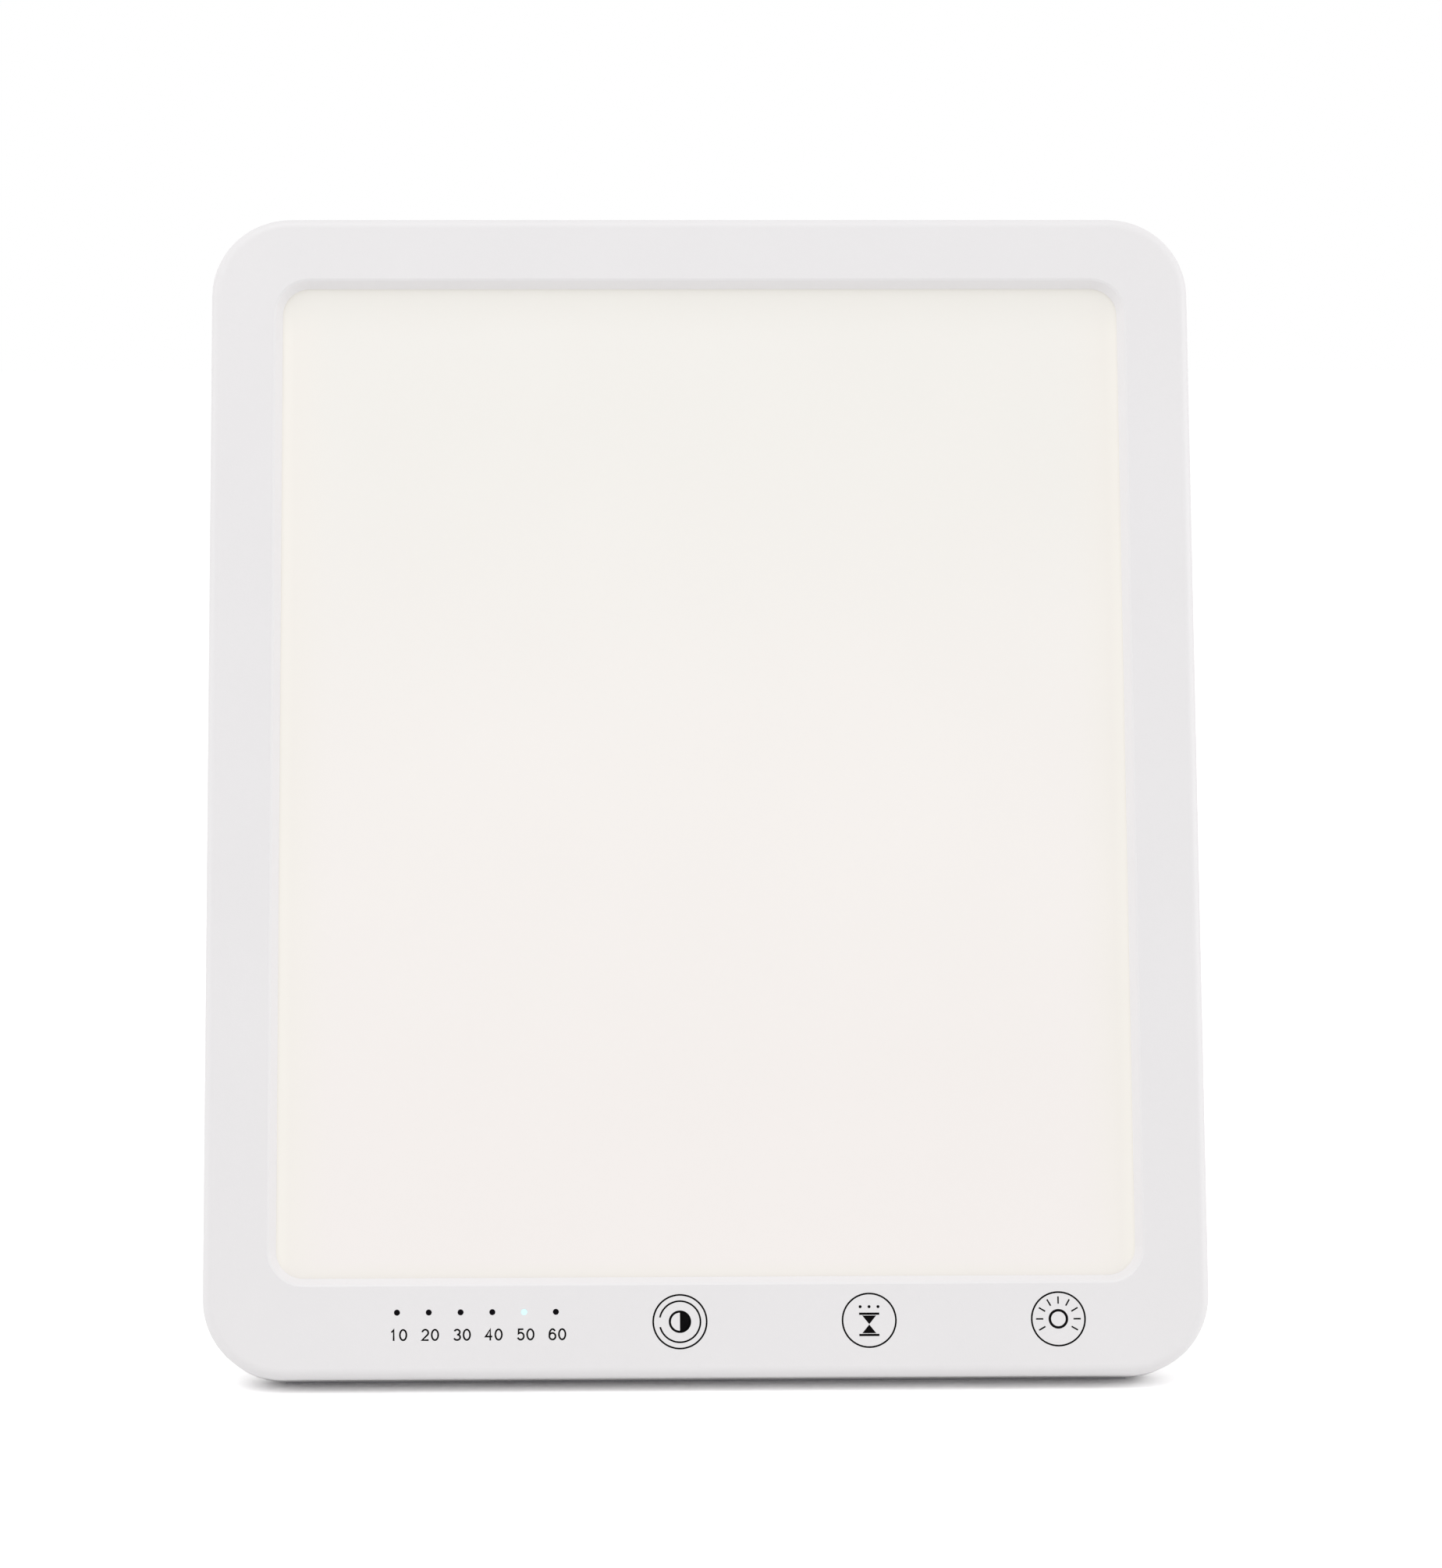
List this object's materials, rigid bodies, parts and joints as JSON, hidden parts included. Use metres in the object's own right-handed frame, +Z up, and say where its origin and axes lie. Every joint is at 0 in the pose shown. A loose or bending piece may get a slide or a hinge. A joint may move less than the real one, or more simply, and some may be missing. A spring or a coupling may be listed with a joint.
{
  "type": "light therapy lamp",
  "caption": "Flat edge-lit light therapy panel in a rounded case with touch keys, timer dots and a swivelling fold-out rear stand.",
  "frame": {"origin": "middle of the foot strip's resting face, on the surface that the lamp stands on", "axes": "+Z up, +X to the right as seen from the front, +Y towards the back, where the stand is"},
  "size_m": [0.2, 0.091, 0.2307],
  "materials": {
    "white_case": "satin moulded",
    "opal": "opal, lit",
    "clear_plastic": "clear polished",
    "sheet_metal": "mill",
    "steel": "zinc plated",
    "board": "solder mask",
    "black_plastic": "matt",
    "ivory_plastic": "matt",
    "phosphor": "glossy",
    "rubber": "matt",
    "spring_metal": "bright",
    "wire_cover": "smooth",
    "foam": "foam",
    "print_ink": "printed"
  },
  "bodies": {
    "housing": {"front_bezel": "white_case", "rear_cover": "white_case", "window_gasket": "foam", "diffuser_plate": "opal", "diffuser_film": "opal", "light_guide": "clear_plastic", "reflector_sheet": "ivory_plastic", "backing_tray": "sheet_metal", "led_board_left": "ivory_plastic", "led_board_right": "ivory_plastic", "led_chips_left": "phosphor", "led_chips_right": "phosphor", "control_board": "board", "board_chips": "black_plastic", "board_inductor": "black_plastic", "lead_sockets": "ivory_plastic", "board_screws": "steel", "touch_springs": "spring_metal", "indicator_leds": "ivory_plastic", "light_shroud": "black_plastic", "indicator_lenses": "clear_plastic", "indicator_lens_lit": "clear_plastic", "dc_jack": "black_plastic", "dc_jack_pin": "steel", "jack_leads": "wire_cover", "led_leads": "wire_cover", "case_screws": "steel", "screw_caps": "white_case", "foot_strip": "rubber"},
    "swivel": {"stand_hub": "white_case", "hub_retainer": "steel", "hub_friction_ring": "rubber", "retainer_screws": "steel", "hinge_pin": "steel", "hinge_washers": "steel"},
    "leg": {"stand_leg": "white_case", "leg_foot_pad": "rubber"}
  },
  "joints": [
    {"name": "stand_swivel", "type": "hinge", "parent": "housing", "child": "swivel", "pos_m": [0, 0.0312, 0.09503], "axis": [0, 0.9613, -0.2756], "range_deg": [-90, 90]},
    {"name": "leg_fold", "type": "hinge", "parent": "swivel", "child": "leg", "pos_m": [0, 0.0431, 0.11659], "axis": [1, 0, 0], "range_deg": [-32, 0]}
  ]
}
